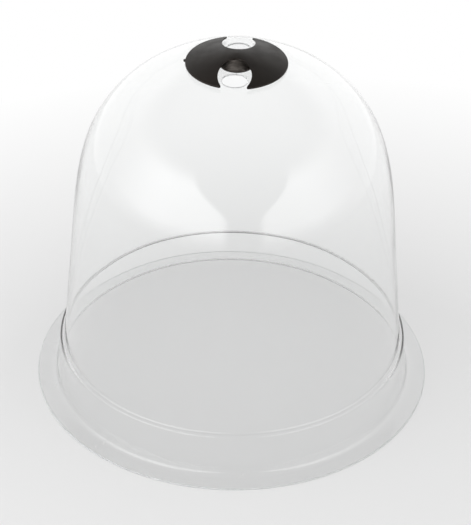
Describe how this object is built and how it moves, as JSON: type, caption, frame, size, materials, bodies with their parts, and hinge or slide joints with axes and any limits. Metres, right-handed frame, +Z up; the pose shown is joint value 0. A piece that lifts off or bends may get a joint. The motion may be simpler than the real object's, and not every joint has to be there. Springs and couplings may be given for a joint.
{
  "type": "bell cloche",
  "caption": "Clear plastic garden bell cloche: a domed cover with a flat flange to rest on and a dark turning vent shutter on its crown.",
  "frame": {"origin": "centre of the flat ring under the flange, on the surface that the cloche stands on", "axes": "+Z up along the bell's axis through the pivot rivet, +Y towards the rear vent notch and -Y towards the front one, with the vent open"},
  "size_m": [0.28, 0.28, 0.2603],
  "materials": {
    "clear_plastic": "clear, colourless, polished",
    "shutter_plastic": "satin moulded, charcoal brown",
    "rivet_plastic": "satin moulded"
  },
  "bodies": {
    "cover": {"bell": "clear_plastic"},
    "shutter": {"vent_shutter": "shutter_plastic", "pivot_rivet": "rivet_plastic"}
  },
  "joints": [
    {"name": "vent_turn", "type": "hinge", "parent": "cover", "child": "shutter", "pos_m": [0, 0, 0.2512], "axis": [0, 0, 1], "continuous": true}
  ]
}
